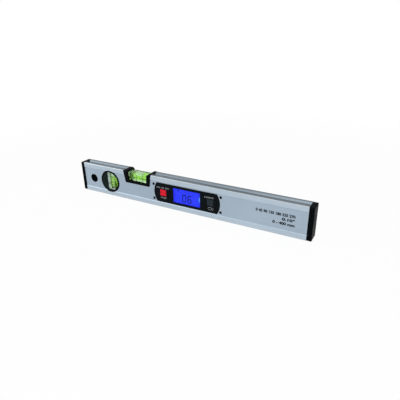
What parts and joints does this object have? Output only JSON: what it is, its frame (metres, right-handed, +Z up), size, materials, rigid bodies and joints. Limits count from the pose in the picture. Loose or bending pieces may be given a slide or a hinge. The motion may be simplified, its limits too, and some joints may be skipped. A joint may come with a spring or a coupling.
{
  "type": "digital spirit level",
  "caption": "Grooved aluminium box level with a level vial in its top edge, a round plumb vial window, a hanging hole and a lit display with two keys.",
  "frame": {"origin": "centre of the base face", "axes": "+X along the level towards the plain end, +Y from the display side to the battery side, +Z up from the base face to the top face"},
  "size_m": [0.4, 0.02, 0.05],
  "materials": {
    "body_aluminium": "fine satin anodised with lengthwise drawing lines and bright milled edges",
    "cap_black": "smooth moulded, slight sheen",
    "housing_black": "fine moulded grain",
    "vial_acrylic": "clear lime-tinted acrylic",
    "plumb_acrylic": "clear lime-tinted acrylic with polished sides",
    "vial_liquid": "green spirit",
    "clear_acrylic": "clear plug",
    "line_ink": "printed band",
    "bubble_air": "air under a bright meniscus",
    "bezel_black": "satin moulded front",
    "lens_clear": "clear window",
    "lcd_blue": "lit blue liquid crystal with dark digits",
    "light_guide": "white light guide",
    "board_green": "green solder mask",
    "switch_grey": "moulded switch plastic",
    "key_red": "satin red key",
    "key_grey": "satin dark grey key",
    "chip_black": "moulded package",
    "screw_black": "black oxide",
    "cell_wrap": "printed sleeve with bare ends",
    "spring_steel": "plated spring wire",
    "contact_nickel": "nickel plate"
  },
  "bodies": {
    "level_body": {"body_profile": "body_aluminium", "end_cap_left": "cap_black", "end_cap_right": "cap_black", "hang_hole_sleeve": "housing_black", "top_vial_holder": "housing_black", "top_vial_block": "vial_acrylic", "top_vial_liquid": "vial_liquid", "top_vial_plug": "clear_acrylic", "top_vial_lines": "line_ink", "plumb_housing_front": "housing_black", "plumb_housing_back": "housing_black", "plumb_vial_block": "plumb_acrylic", "plumb_vial_liquid": "vial_liquid", "plumb_vial_plug": "clear_acrylic", "plumb_vial_lines": "line_ink", "front_bezel": "bezel_black", "display_lens": "lens_clear", "lcd_glass": "lcd_blue", "backlight_plate": "light_guide", "circuit_board": "board_green", "switch_bodies": "switch_grey", "tilt_sensor": "chip_black", "control_chip": "chip_black", "buzzer": "chip_black", "module_case": "housing_black", "bezel_screws": "screw_black", "batteries": "cell_wrap", "battery_springs": "spring_steel", "battery_contacts": "contact_nickel"},
    "power_key": {"power_button": "key_red", "power_plunger": "switch_grey"},
    "light_key": {"light_button": "key_grey", "light_plunger": "switch_grey"},
    "top_bubble": {"top_vial_bubble": "bubble_air"},
    "plumb_bubble": {"plumb_vial_bubble": "bubble_air"},
    "door": {"battery_door": "housing_black"}
  },
  "joints": [
    {"name": "power_key_press", "type": "slide", "parent": "level_body", "child": "power_key", "axis": [0, 1, 0], "range_m": [0, 0.0006], "stiffness_N_per_m": 400, "springref_m": -0.0015},
    {"name": "light_key_press", "type": "slide", "parent": "level_body", "child": "light_key", "axis": [0, 1, 0], "range_m": [0, 0.0006], "stiffness_N_per_m": 400, "springref_m": -0.0015},
    {"name": "top_bubble_travel", "type": "slide", "parent": "level_body", "child": "top_bubble", "axis": [1, 0, 0], "range_m": [-0.0065, 0.0065], "stiffness_N_per_m": 0.5},
    {"name": "plumb_bubble_travel", "type": "slide", "parent": "level_body", "child": "plumb_bubble", "axis": [0, 0, 1], "range_m": [-0.008, 0], "stiffness_N_per_m": 1, "springref_m": 0.012},
    {"name": "battery_door_lift", "type": "slide", "parent": "level_body", "child": "door", "axis": [0, 1, 0], "range_m": [0, 0.012]}
  ]
}
